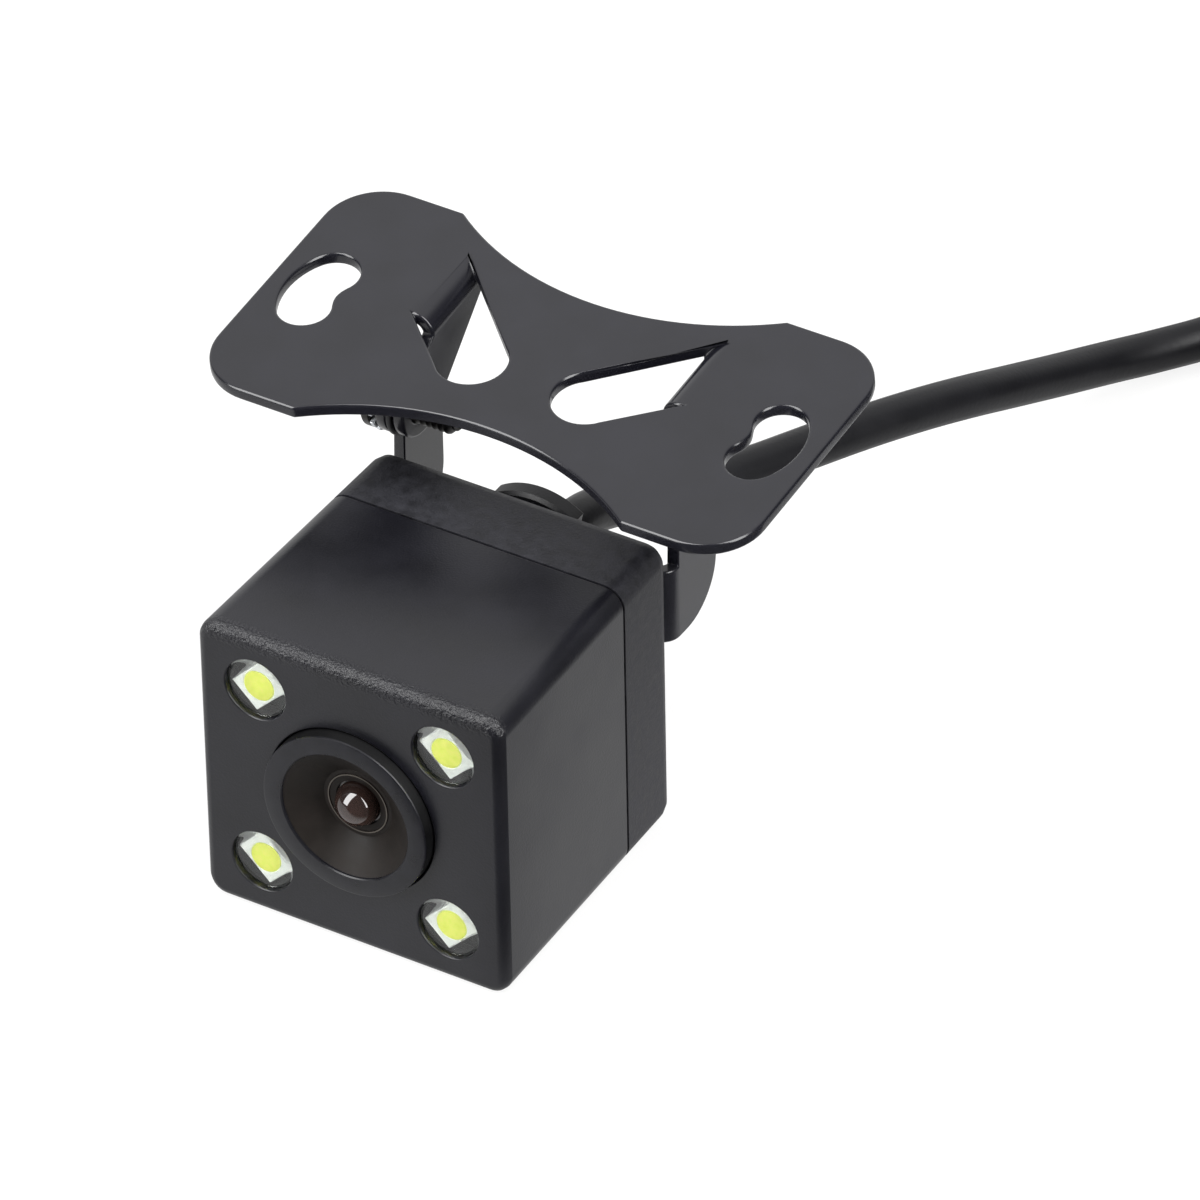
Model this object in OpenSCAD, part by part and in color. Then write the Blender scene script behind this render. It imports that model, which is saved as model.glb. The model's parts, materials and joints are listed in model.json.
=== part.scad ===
// Rear-view backup camera: a small cube camera with four lights, carried by a bent steel yoke
// that is hinged under a butterfly-shaped mounting plate. Millimetres, +Z up, lens facing -Y.
// The origin is at the middle of the camera and bracket, on the surface that the body stands on.

/* [Camera body] */
// Width of the front face
body_w = 25; // [22:0.5:30]
// Width of the rear face, narrower by the mould's draft
body_rear_w = 24; // [22:0.5:30]
// Height of the body
body_h = 24.5; // [23:0.5:30]
// Depth of the body from the front face to the rear face
body_d = 24; // [23:0.5:32]
// Depth of the rear cover, from its seam to the rear face
cover_d = 6.5; // [5.5:0.5:8]
// Thickness of the side walls at the seam
body_wall = 1.8; // [1.6:0.1:2.4]
// Thickness of the wall round the lens
front_wall = 2.2; // [1.8:0.1:3]
// Thickness of the cover's rear wall
rear_wall = 2; // [1.6:0.1:2.6]
// Radius of the four long edges
edge_r = 1.6; // [0.6:0.1:2.4]
// Radius of the edge round the front face
front_round = 0.8; // [0.3:0.1:1.2]
// Radius of the edge round the rear face
rear_round = 1.4; // [0.4:0.1:1.8]
// Width and depth of the gasket in the seam
seal_w = 0.8; // [0.5:0.1:1]

/* [Lens] */
// Diameter of the hole for the lens in the front wall
lens_hole_d = 13.6; // [13:0.1:14]
// Height of the barrel's rim in front of the front face
rim_rise = 1; // [0.6:0.1:1.4]
// Diameter of the mouth of the dark cone
cone_d = 10.4; // [9.4:0.1:11]
// Diameter of the floor of the cone
cone_floor_d = 5.8; // [5.6:0.1:7]
// Depth of the cone from the rim
cone_depth = 1.9; // [1.6:0.1:2.8]
// Diameter of the lens elements
glass_d = 5.4; // [4.6:0.1:5.6]
// Diameter of the front element's dome
dome_d = 3.4; // [3:0.1:3.8]
// Height of the front element's dome
dome_h = 1.9; // [1.2:0.1:2]
// Thickness of the front element behind its dome
front_glass_t = 0.8; // [0.6:0.1:1.2]
// Thickness of each inner element at its middle
inner_glass_t = 1.5; // [1.2:0.1:2]
// Thickness of the spacer ring and of the stop
spacer_t = 0.6; // [0.3:0.1:1]
// Diameter of the barrel's threaded rear part
thread_d = 12; // [11.6:0.1:12.2]
// Length of the lens barrel
barrel_len = 11.6; // [11:0.1:12]

/* [Lights] */
// Distance of each light from the lens axis, across and up
led_offset = 7.7; // [7.4:0.1:8.2]
// Diameter of the round recess of each light
led_hole_d = 5; // [4.8:0.1:5.4]
// Longer side of a light's package
led_l = 3.5; // [2.8:0.1:3.6]
// Shorter side of a light's package
led_b = 2.8; // [2.4:0.1:3]
// Depth of the package's top below the front face
led_sink = 0.8; // [0.5:0.1:1.2]
// Diameter of the yellow phosphor
phosphor_d = 2.4; // [1.6:0.1:2.5]
// Thickness of the phosphor
phosphor_t = 0.3; // [0.2:0.1:0.5]
// Depth of the clear window below the front face
window_sink = 0.2; // [0.1:0.1:0.4]

/* [Boards] */
// Thickness of both circuit boards
board_t = 1; // [0.8:0.1:1.2]
// Depth of the sensor board's front face behind the front face of the body
board_depth = 14; // [13.5:0.1:14.5]
// Distance of the two board posts from the lens axis
post_x = 8.7; // [8.6:0.1:8.8]
// Diameter of the board posts
post_d = 3; // [2.6:0.1:3.2]
// Side of the image sensor's package
sensor_w = 7; // [5:0.1:8]
// Height of the image sensor's package
sensor_t = 0.9; // [0.6:0.1:1.2]
// Side of the infrared filter
filter_w = 7; // [6.5:0.1:7.6]
// Thickness of the infrared filter
filter_t = 0.5; // [0.3:0.1:0.6]

/* [Yoke] */
// Thickness of the yoke's steel
yoke_t = 1; // [0.8:0.1:1.2]
// Inner radius of the yoke's bends
yoke_bend_r = 0.5; // [0.3:0.1:0.8]
// Distance of the strip's lower edge below the body's top
strap_drop = 9.5; // [8.5:0.1:10.5]
// Height of the strip behind the camera
strap_h = 6.3; // [5.5:0.1:7]
// Reach of the arms behind the rear face
arm_back = 6.7; // [6.2:0.1:8]
// Radius of the arms' lower rear corner
arm_corner_r = 4.2; // [2:0.1:4.4]
// Radius of the arms' round upper end
arm_end_r = 2.7; // [2.6:0.1:3]
// Height of the tilt axis above the body
pivot_rise = 3.3; // [3.2:0.1:6]
// Distance of the tilt axis behind the rear face
pivot_back = 1.7; // [1.6:0.1:2.5]

/* [Bracket plate] */
// Length of the plate from wing tip to wing tip
plate_l = 44.8; // [42:0.2:60]
// Depth of the wings
plate_b = 23.4; // [21:0.2:30]
// Thickness of the plate
plate_t = 1; // [0.8:0.1:1.2]
// Radius of the wings' corners
wing_r = 4.5; // [2:0.1:5]
// Width of the curved waist between the corners where it starts
waist_l = 26.8; // [25:0.2:30]
// Depth of the plate at its waist
waist_b = 14.8; // [13.8:0.2:17]
// Distance between the outer faces of the two folded tabs
tab_span = 20.8; // [20:0.1:21.2]
// Inner radius of the fold
tab_bend_r = 0.6; // [0.4:0.1:0.8]
// Front end of the fold line
fold_front = 0.7; // [0:0.1:1.2]
// Rear end of the fold line
fold_rear = 8.2; // [7.6:0.1:8.6]
// Place of the tilt axis ahead of the plate's middle
tab_y = -1.55; // [-2:0.05:-1]
// Depth of the tilt axis below the plate's top face
tab_drop = 6.1; // [5.8:0.1:7]
// Radius of the tabs' round end
tab_end_r = 2.65; // [2.4:0.05:3]
// Centre of each screw slot's arc from the plate's middle
slot_x = 15; // [14.5:0.1:15.5]
// Radius of the arc that each slot follows
slot_arc_r = 4; // [3.5:0.1:4.2]
// Half of the angle that each slot sweeps
slot_half_angle = 30; // [20:1:36]
// Width of each slot
slot_w = 4; // [3:0.1:4.4]
// Tilt of the plate at rest, front edge down
plate_tilt = 6; // [0:1:12]

/* [Pivot hardware] */
// Diameter of the pivot screws
screw_d = 3; // [2.6:0.1:3]
// Diameter of their heads
head_d = 5.5; // [5:0.1:5.8]
// Height of their heads
head_h = 1.2; // [1:0.1:2]
// Length of thread that stands out of each tapped tab
thread_end = 3.2; // [1:0.1:4]
// Thickness of the toothed lock washers under the heads
lock_t = 0.4; // [0.3:0.1:0.6]
// Thickness of the friction washers between the tabs and the arms
washer_t = 0.4; // [0.3:0.1:0.6]
// Diameter of the washers
washer_d = 5.6; // [5.2:0.1:6]

/* [Cable] */
// Diameter of the cable
cable_d = 3.3; // [3:0.1:3.6]
// Distance of the cable gland's axis below the body's top
gland_drop = 6.9; // [6.5:0.1:8]
// Diameter of the gland's threaded boss
gland_d = 6; // [5.8:0.1:6.4]
// Diameter of the gland nut
gland_nut_d = 11.6; // [10:0.1:12]
// Thickness of the gland nut
gland_nut_t = 1.6; // [1.2:0.1:2]
// Length of the strain relief behind the boss
relief_len = 2.4; // [2:0.1:3]
// Diameter of the plug's moulded body
plug_d = 8; // [7:0.1:9]
// Length of the plug's moulded body
plug_len = 22; // [16:0.5:26]
// Diameter of the plug's contact pin
jack_d = 2.5; // [2:0.1:3.5]
// Length of the plug's contact pin
jack_len = 11; // [9:0.5:14]

/* [Hidden] */
$fn = 48;

// Clearances: a sliding fit, a running hinge fit, a flat running gap and room round a loose piece
fit = 0.02;
run_fit = 0.05;
run_gap = 0.05;
room = 0.3;
// Overshoot of a cut past the face that it opens
cut = 0.1;
// Amount by which a straight edge runs inside the arc that it joins
blend = 0.02;
// Thickness of a slice that a shell is spanned over
slice_t = 0.02;
sides = [-1, 1];

// Place of the camera along Y: the middle of the camera and its bracket is at zero
tab_reach = plate_b / 2 - tab_y;
plate_rear = pivot_back + tab_reach * cos(plate_tilt) - (tab_drop - plate_t) * sin(plate_tilt);
front_y = (rim_rise - body_d - plate_rear) / 2;
rear_y = front_y + body_d;
mid_z = body_h / 2;
pivot_y = rear_y + pivot_back;
pivot_z = body_h + pivot_rise;

// The body: its width at a depth, and the straight cavity inside it
seam_depth = body_d - cover_d;
function width_at(depth) = body_w + (body_rear_w - body_w) * depth / body_d;
cavity_w = min(width_at(seam_depth), body_rear_w) - 2 * body_wall;
cavity_h = body_h - 2 * body_wall;
cavity_r = max(edge_r - body_wall, 0.4);
// Corner posts that take the cover's screws
cover_screw_d = 2;
cover_head_d = 3.5;
cover_head_h = 1.3;
corner_wall = 0.7;
corner_inset = 1.4;
corner_r = cover_head_d / 2 + corner_wall;
corner_x = cavity_w / 2 - corner_inset;
corner_z = cavity_h / 2 - corner_inset;
corner_post_len = 5;
corner_floor = 1;
cover_screw_short = 1.5;
cover_screw_len = cover_d - cover_head_h + corner_post_len - cover_screw_short;

// The lens: depths are measured from the front face
rim_depth = -rim_rise;
barrel_gap = 0.1;
barrel_r = lens_hole_d / 2 - barrel_gap;
barrel_shoulder = 1.8;
barrel_step = front_wall + board_t + barrel_shoulder;
barrel_end = rim_depth + barrel_len;
cone_end = rim_depth + cone_depth;
lip_t = 0.3;
lip_gap = 0.1;
glass_depth = cone_end + lip_t;
glass_r = glass_d / 2;
dome_r = dome_d / 2;
glass_rim = glass_r - dome_r;
hollow_r = 1.6;
hollow_back = 0.9;
inner_bulge = 0.35;
spacer_rim = 0.6;
stop_r = 0.6;
retainer_rim = 0.8;
dome_curve_r = (dome_r * dome_r + dome_h * dome_h) / (2 * dome_h);
spacer_depth = glass_depth + front_glass_t;
second_depth = spacer_depth + spacer_t;
stop_depth = second_depth + inner_glass_t;
third_depth = stop_depth + spacer_t;
retainer_depth = third_depth + inner_glass_t;
retainer_t = 1;
lens_seal_r = 0.48;
seal_depth = front_wall / 2;
seal_centre_r = lens_hole_d / 2 - lens_seal_r - fit;

// The lens holder on the sensor board
holder_wall = 0.8;
holder_r = thread_d / 2 + holder_wall;
holder_grip = 3;
holder_front = barrel_end - holder_grip;
filter_gap = 0.4;
filter_depth = barrel_end + filter_gap;
ledge_depth = filter_depth + filter_t;
ledge_t = 0.8;
ledge_w = 0.5;
sensor_gap = 1;
sensor_room = sensor_w + 2 * sensor_gap;

// The lights
led_t = front_wall - led_sink;
led_board_w = min(cavity_w, cavity_h) - 2 * room;
led_board_r = 0.6;

// The sensor board: an eight-sided board that clears the corner posts
board_w = cavity_w - 2 * room;
board_h = cavity_h - 2 * room;
board_cut = corner_x + corner_z - (corner_r + room) * sqrt(2);
board_back = board_depth + board_t;
post_hole_d = 1.2;
post_hole_len = 4;
post_hole_gap = 0.4;
board_screw_short = 1;
wire_grip = 1;
board_head_d = 2.4;
board_head_h = 0.8;
connector_w = 7.5;
connector_h = 3.4;
connector_t = 2.4;
chip_w = 5;
chip_t = 0.9;
chip_drop = 5;
chip_z = mid_z - chip_drop;
header_rise = 1.9;
header_z = -cavity_h / 2 + header_rise;
header_w = 5;
header_b = 2.2;
header_t = 2.5;
header_pin = 0.64;
header_pitch = 2.54;

// The gland: a boss with two flats that keeps the yoke from turning
gland_z = body_h - gland_drop;
gland_r = gland_d / 2;
flat_depth = 0.4;
gland_flat = gland_r - flat_depth;
boss_out = 0.2;
boss_len = yoke_t + gland_nut_t + boss_out;
boss_wall = 0.6;
nut_notch_d = 1.6;
relief_neck_r = gland_r - boss_wall;
relief_tip_wall = 0.45;
relief_tip_r = cable_d / 2 + relief_tip_wall;
relief_flange_t = 0.8;
relief_flange_r = gland_r + 0.5;
relief_end_y = rear_y + boss_len + relief_len;
core_len = 2;
lead_end = board_back + connector_t + core_len;
core_r = 0.3;
core_pitch = 0.75;

// The pivot's stack along X, from the thread's end outwards
tab_out = tab_span / 2;
tab_in = tab_out - plate_t;
arm_in = tab_out + washer_t + run_gap;
arm_out = arm_in + yoke_t;
lock_x = arm_out + run_gap;
head_x = lock_x + lock_t;
thread_x = tab_in - thread_end;
lock_teeth = 12;
tooth_len = 0.6;
tooth_w = 0.7;
screw_r = screw_d / 2;
pivot_hole_r = screw_r + run_fit;

// The yoke's strip has a round lobe behind the gland nut
strap_low = body_h - strap_drop;
lobe_inset = 0.4;
strap_lobe_r = gland_nut_d / 2 - lobe_inset;
bend_end = yoke_t + yoke_bend_r;
neck_drop = 2;
neck_top = body_h - neck_drop;

// The plate's folds and cut-outs
bend_out = tab_bend_r + plate_t;
fold_x = tab_out + tab_bend_r;
bend_len = 90 * PI / 180 * (tab_bend_r + plate_t / 2);
cutout_x = fold_x - bend_len - (tab_drop - bend_out);
waist_sag = (plate_b - waist_b) / 2;
waist_r = ((waist_l / 2) ^ 2 + waist_sag ^ 2) / (2 * waist_sag);

// The cable: from the relief to the coil by points chosen along its lie, in millimetres
cable_r = cable_d / 2;
coil_gap = 0.5;
coil_pitch = cable_d + coil_gap;
coil_turns = 5.5;
coil_in_r = 15;
coil_centre = [49, 77.5];
coil_start_angle = 160;
tie_angles = [80, 260];
tie_t = 0.8;
tie_w = 4;
tie_r = 1.2;
tie_room = 0.3;
coil_rest = 0.1;
coil_low = tie_t + coil_rest + cable_r;
rings_per_turn = 24;
plug_at = [70.5, 50.8, plug_d / 2];
tail = [[71.2, 61.8, 5.9], [70.6, 57.8, 4.7], plug_at + [0, cable_d, 0], plug_at];
plug_ease = 1;
plug_taper_len = 8.8;
plug_tail_wall = 0.5;
jack_root = 4;
plug_tip_len = 3.2;
plug_ring_depth = 0.3;
plug_ring_t = 0.5;
plug_ring_gap = 2.4;

function unit(v) = v / norm(v);
function coil_r(turn) = coil_in_r + coil_pitch * abs(turn - coil_turns / 2);
function coil_climb(turn) = min(max((turn - coil_turns / 2) * 2 + 0.5, 0), 1);
function coil_angle(turn) = coil_start_angle - 360 * turn;
function coil_point(turn) = [
    coil_centre.x + coil_r(turn) * cos(coil_angle(turn)),
    coil_centre.y + coil_r(turn) * sin(coil_angle(turn)),
    coil_low + coil_pitch * coil_climb(turn)
];
function coil_heading(turn) = [sin(coil_angle(turn)), -cos(coil_angle(turn)), 0];
coil_rings = coil_turns * rings_per_turn;
coil_entry = coil_point(0) - cable_d * coil_heading(0);
turns = [for (i = [0:coil_rings]) coil_point(i / rings_per_turn)];
coil_exit = coil_point(coil_turns) + cable_d * coil_heading(coil_turns);
coil_path = concat([coil_entry], turns, [coil_exit], tail);
route = concat(
    [
        [0, relief_end_y, gland_z], [0, relief_end_y + 0.6, gland_z],
        [0, relief_end_y + 2.2, gland_z - 0.25], [0.1, relief_end_y + 4.5, gland_z - 1]
    ],
    [
        [1.2, 21.5, 13.95], [2.4, 25.5, 12.8], [4, 30, 11.9], [5.8, 35, 11.15], [7.6, 40, 10.4],
        [9.2, 45, 9.3], [10.6, 50, 7.85], [11.8, 55, 6.1], [13, 60, 4.35], [14.6, 65, 2.9],
        [16.9, 69.3, 2.2], [19.5, 73, 2.2], [21.5, 76.7, 2.4]
    ],
    [coil_entry - cable_d * coil_heading(0), coil_entry]
);

// Least distance between two turns' surfaces, over points at least half a turn apart
least_gap = min([
    for (i = [0:len(turns) - 1]) for (j = [i + rings_per_turn / 2:1:len(turns) - 1])
        norm(turns[i] - turns[j]) - cable_d
]);
echo(least_gap_between_turns = least_gap);
assert(least_gap > 0.4, "the coil's turns touch");

// Length of the cable from the gland to the plug
function path_len(p) = len(p) < 2 ? 0 : sum([for (i = [1:len(p) - 1]) norm(p[i] - p[i - 1])]);
function sum(v, i = 0) = i == len(v) ? 0 : v[i] + sum(v, i + 1);
echo(cable_length = path_len(route) + path_len(coil_path));

// Direction of a path at one of its points
function heading(p, i) =
    i == 0 ? unit(p[1] - p[0])
    : i == len(p) - 1 ? unit(p[i] - p[i - 1])
    : unit(unit(p[i] - p[i - 1]) + unit(p[i + 1] - p[i]));

// Ring of points round a path, square to it
function ring(p, i, r, n) =
    let (t = heading(p, i), s = unit(cross(t, [0, 0, 1])), u = cross(s, t))
    [for (k = [0:n - 1]) let (a = 360 * (k + 0.5) / n) p[i] + r * (s * cos(a) + u * sin(a))];

// A tube of flat sides along a path
module tube(p, r, n) {
    last = len(p) - 1;
    points = [for (i = [0:last]) each ring(p, i, r, n)];
    walls = [for (i = [0:last - 1]) for (k = [0:n - 1]) let (m = (k + 1) % n, a = i * n, b = a + n)
        each [[a + k, a + m, b + m], [a + k, b + m, b + k]]];
    start = [for (k = [1:n - 2]) [0, k + 1, k]];
    end = [for (k = [1:n - 2]) [last * n, last * n + k, last * n + k + 1]];
    polyhedron(points, concat(walls, start, end));
}

// A rectangle with round corners
module rounded(w, h, r) {
    square([w - 2 * r, h], center = true);
    square([w, h - 2 * r], center = true);
    for (x = sides) for (y = sides)
        translate([x * (w / 2 - r), y * (h / 2 - r)]) circle(r);
}

// Children whose Z runs back into the body from its front face, with Z = 0 at a depth
module at_depth(depth) {
    translate([0, front_y + depth, mid_z]) rotate([-90, 0, 0]) children();
}

// Children whose Z runs back along the gland's axis from the rear face
module at_gland(back = 0) {
    translate([0, rear_y + back, gland_z]) rotate([-90, 0, 0]) children();
}

// Children placed in the plate's own frame: its middle at zero, its top face at Z = 0
module at_plate() {
    translate([0, pivot_y, pivot_z]) rotate([plate_tilt, 0, 0])
        translate([0, -tab_y, tab_drop]) children();
}

// Children on the tilt axis, once a side, whose Z runs outwards from a distance off the middle
module on_pivot(x) {
    for (s = sides) translate([s * x, pivot_y, pivot_z]) rotate([0, s * 90, 0]) children();
}

// One slice of the body's outline at a depth, drawn in by an amount
module body_slice(depth, inset = 0) {
    at_depth(depth) linear_extrude(slice_t)
        rounded(width_at(depth) - 2 * inset, body_h - 2 * inset, max(edge_r - inset, 0.4), $fn = 32);
}

// The straight cavity between two depths
module cavity(from, to) {
    at_depth(from) linear_extrude(to - from) rounded(cavity_w, cavity_h, cavity_r);
}

module at_corners() {
    for (x = sides) for (z = sides) translate([x * corner_x, z * corner_z, 0]) children();
}

// Children at each light, turned so that their X points away from the lens
module at_lights() {
    for (x = sides) for (z = sides)
        translate([x * led_offset, z * led_offset, 0]) rotate(atan2(z, x)) children();
}

module at_posts() {
    for (x = sides) translate([x * post_x, 0, 0]) children();
}

// Front shell: moulded ABS, open at the back, with posts for the board and the cover's screws
module front_housing() color("#3b3d41") difference() {
    union() {
        difference() {
            hull() {
                for (a = [0:30:90])
                    body_slice(front_round * (1 - sin(a)), front_round * (1 - cos(a)));
                body_slice(seam_depth - slice_t);
            }
            cavity(front_wall, seam_depth + cut);
        }
        intersection() {
            at_depth(seam_depth - corner_post_len) at_corners()
                cylinder(r = corner_r, h = corner_post_len);
            cavity(front_wall, seam_depth);
        }
        at_depth(front_wall - cut) at_posts() cylinder(d = post_d, h = board_depth - front_wall + cut);
    }
    at_depth(-cut) cylinder(d = lens_hole_d, h = front_wall + 2 * cut);
    at_depth(-cut) at_lights() cylinder(d = led_hole_d, h = front_wall + 2 * cut);
    at_depth(board_depth - post_hole_len) at_posts()
        cylinder(d = post_hole_d, h = post_hole_len + cut);
    at_depth(seam_depth - corner_post_len + corner_floor) at_corners()
        cylinder(d = cover_screw_d + 2 * fit, h = corner_post_len);
}

// Rear shell: moulded ABS, with a groove for the gasket and the threaded boss of the gland
module rear_cover() color("#3b3d41") difference() {
    union() {
        difference() {
            hull() {
                body_slice(seam_depth);
                for (a = [0:30:90])
                    body_slice(body_d - slice_t - rear_round * (1 - sin(a)), rear_round * (1 - cos(a)));
            }
            cavity(seam_depth - cut, body_d - rear_wall);
        }
        intersection() {
            at_depth(seam_depth) at_corners() cylinder(r = corner_r, h = cover_d - cut);
            cavity(seam_depth, body_d - cut);
        }
        at_gland(-cut) intersection() {
            cylinder(r = gland_r, h = boss_len + cut);
            translate([-gland_flat, -gland_d, 0])
                cube([2 * gland_flat, 2 * gland_d, boss_len + cut]);
        }
    }
    at_gland(-rear_wall - cut) cylinder(r = relief_neck_r + fit, h = rear_wall + boss_len + 2 * cut);
    at_depth(seam_depth - cut) seal_ring(seal_w + cut, seal_w);
    at_depth(seam_depth - cut) at_corners() cylinder(d = cover_screw_d + 2 * fit, h = cover_d + 2 * cut);
    at_depth(body_d - cover_head_h - room) at_corners()
        cylinder(d = cover_head_d + 2 * fit, h = cover_head_h + room + cut);
}

// A square-section ring that follows the seam in the middle of the wall
module seal_ring(depth, width) {
    outer_w = cavity_w + body_wall + width;
    outer_h = cavity_h + body_wall + width;
    linear_extrude(depth) difference() {
        rounded(outer_w, outer_h, edge_r);
        rounded(outer_w - 2 * width, outer_h - 2 * width, max(edge_r - width, 0.4));
    }
}

// Rubber gasket in the cover's groove
module housing_seal() color("#202124") at_depth(seam_depth) seal_ring(seal_w, seal_w);

// Four pan-head screws from the rear, sunk below the rear face
module cover_screws() color("#2b2c2f") at_depth(body_d - room) at_corners() mirror([0, 0, 1]) difference() {
    union() {
        cylinder(d = cover_head_d, h = cover_head_h);
        cylinder(d = cover_screw_d, h = cover_head_h + cover_screw_len);
    }
    cross_recess(cover_head_d, cover_head_h / 2);
}

// A cross-shaped driver recess in a head
module cross_recess(head, depth) {
    long = 0.6 * head;
    wide = 0.18 * head;
    for (a = [0, 90]) rotate(a) translate([-long / 2, -wide / 2, -cut]) cube([long, wide, depth + cut]);
}

// Black lens barrel: proud rim, dark cone, bore for the glass and a threaded tail
module lens_barrel() color("#2c2725") at_depth(0) rotate_extrude() difference() {
    polygon([
        [0, rim_depth], [barrel_r, rim_depth], [barrel_r, barrel_step],
        [thread_d / 2, barrel_step], [thread_d / 2, barrel_end], [0, barrel_end]
    ]);
    polygon([
        [-cut, rim_depth - cut], [cone_d / 2, rim_depth - cut], [cone_d / 2, rim_depth],
        [cone_floor_d / 2, cone_end], [dome_r + lip_gap, cone_end], [dome_r + lip_gap, glass_depth],
        [glass_r + fit, glass_depth], [glass_r + fit, barrel_end + cut], [-cut, barrel_end + cut]
    ]);
    translate([seal_centre_r - lens_seal_r - fit, seal_depth - lens_seal_r - fit])
        square([3 * lens_seal_r, 2 * (lens_seal_r + fit)]);
}

// Rubber ring round the barrel's rim
module lens_seal() color("#1c1c1e") at_depth(seal_depth) rotate_extrude()
    translate([seal_centre_r, 0]) circle(lens_seal_r);

// Front element: a disc with a dome towards the front and a hollow behind
module front_lens() color("#5b4a52") at_depth(glass_depth) rotate_extrude() difference() {
    union() {
        square([glass_r, front_glass_t]);
        intersection() {
            translate([0, dome_curve_r - dome_h]) circle(dome_curve_r);
            translate([0, -dome_h - cut]) square([dome_r, dome_h + 2 * cut]);
        }
    }
    translate([0, front_glass_t + hollow_back]) circle(hollow_r);
    translate([-2 * glass_d, -2 * glass_d]) square([2 * glass_d, 4 * glass_d]);
}

// A ring that spaces two elements or closes the stack
module glass_ring(depth, t, hole_r) {
    at_depth(depth) difference() {
        cylinder(r = glass_r, h = t);
        translate([0, 0, -cut]) cylinder(r = hole_r, h = t + 2 * cut);
    }
}

module lens_spacer() color("#26262a") glass_ring(spacer_depth, spacer_t, glass_r - spacer_rim);
module lens_stop() color("#26262a") glass_ring(stop_depth, spacer_t, stop_r);
module lens_retainer() color("#4a4a4e") glass_ring(retainer_depth, retainer_t, glass_r - retainer_rim);

// Inner elements: flat rims with a convex middle
module inner_glass(depth) {
    curve_r = (dome_r * dome_r + inner_bulge * inner_bulge) / (2 * inner_bulge);
    at_depth(depth) rotate_extrude() union() {
        translate([0, inner_bulge]) square([glass_r, inner_glass_t - inner_bulge]);
        intersection() {
            translate([0, curve_r]) circle(curve_r, $fn = 96);
            square([dome_r, 2 * inner_bulge]);
        }
        translate([dome_r, 0]) square([glass_rim, inner_glass_t]);
    }
}

module second_lens() color("#b9c7d6") inner_glass(second_depth);
module rear_lens() color("#b9c7d6") inner_glass(third_depth);

// Plastic holder glued to the sensor board: threaded tube, filter ledge and room for the sensor
module lens_holder() color("#222327") difference() {
    union() {
        at_depth(holder_front) cylinder(r = holder_r, h = board_depth - holder_front);
        at_depth(filter_depth) linear_extrude(board_depth - filter_depth)
            square(2 * holder_r, center = true);
    }
    at_depth(holder_front - cut) cylinder(d = thread_d + 2 * fit, h = filter_depth - holder_front + cut);
    at_depth(filter_depth - cut) linear_extrude(filter_t + cut) square(filter_w + 2 * fit, center = true);
    at_depth(ledge_depth - cut) linear_extrude(ledge_t + 2 * cut)
        square(filter_w - 2 * ledge_w, center = true);
    at_depth(ledge_depth + ledge_t) linear_extrude(board_depth) square(sensor_room, center = true);
}

module ir_filter() color("#c9888f") at_depth(filter_depth)
    linear_extrude(filter_t) square(filter_w, center = true);

module image_sensor() color("#3a4a5c") at_depth(board_depth - sensor_t)
    linear_extrude(sensor_t) square(sensor_w, center = true);

// Sensor board: eight-sided, with a hole at each post
module sensor_board() color("#1f5a3a") difference() {
    at_depth(board_depth) linear_extrude(board_t) intersection() {
        square([board_w, board_h], center = true);
        rotate(45) square(board_cut * sqrt(2), center = true);
    }
    at_depth(board_depth - cut) at_posts() cylinder(d = post_hole_d + post_hole_gap, h = board_t + 2 * cut);
}

// Two small screws that hold the sensor board on its posts
module board_screws() color("#b5b8bc") at_depth(board_back) at_posts() difference() {
    union() {
        cylinder(d = board_head_d, h = board_head_h);
        translate([0, 0, board_screw_short - board_t - post_hole_len])
            cylinder(d = post_hole_d - 2 * fit, h = board_t + post_hole_len);
    }
    translate([0, 0, board_head_h]) mirror([0, 0, 1]) cross_recess(board_head_d, board_head_h / 2);
}

module video_chip() color("#17181a")
    translate([-chip_w / 2, front_y + board_back, chip_z - chip_w / 2]) cube([chip_w, chip_t, chip_w]);

// Wire socket on the back of the sensor board, in line with the gland
module board_connector() color("#d9d5c8") difference() {
    translate([-connector_w / 2, front_y + board_back, gland_z - connector_h / 2])
        cube([connector_w, connector_t, connector_h]);
    at_cores() translate([0, 0, board_back + connector_t - wire_grip])
        cylinder(r = core_r + fit, h = wire_grip + cut);
}

// Children in line with each core of the cable, with Z = 0 at the front face
module at_cores() {
    for (i = [-1.5:1.5]) translate([i * core_pitch, front_y, gland_z]) rotate([-90, 0, 0]) children();
}

// Board of the lights, behind the front wall, with room for the barrel and the posts
module led_board() color("#26282a") difference() {
    at_depth(front_wall) linear_extrude(board_t) rounded(led_board_w, led_board_w, led_board_r);
    at_depth(front_wall - cut) cylinder(r = barrel_r + room, h = board_t + 2 * cut);
    at_depth(front_wall - cut) at_posts() cylinder(d = post_d + room, h = board_t + 2 * cut);
}

// White packages, their longer sides round the lens, with a round pocket for the phosphor
module led_packages() color("#f2f2ee") at_depth(led_sink) at_lights() difference() {
    linear_extrude(led_t) square([led_b, led_l], center = true);
    translate([0, 0, -cut]) cylinder(d = phosphor_d + 2 * fit, h = phosphor_t + cut);
}

module led_phosphors() color("#e8ef4a") at_depth(led_sink) at_lights()
    cylinder(d = phosphor_d, h = phosphor_t);

// Clear resin over each light
module led_windows() color("#dfe6ea80") at_depth(window_sink) at_lights()
    cylinder(d = led_hole_d - 2 * fit, h = led_sink - window_sink);

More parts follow.
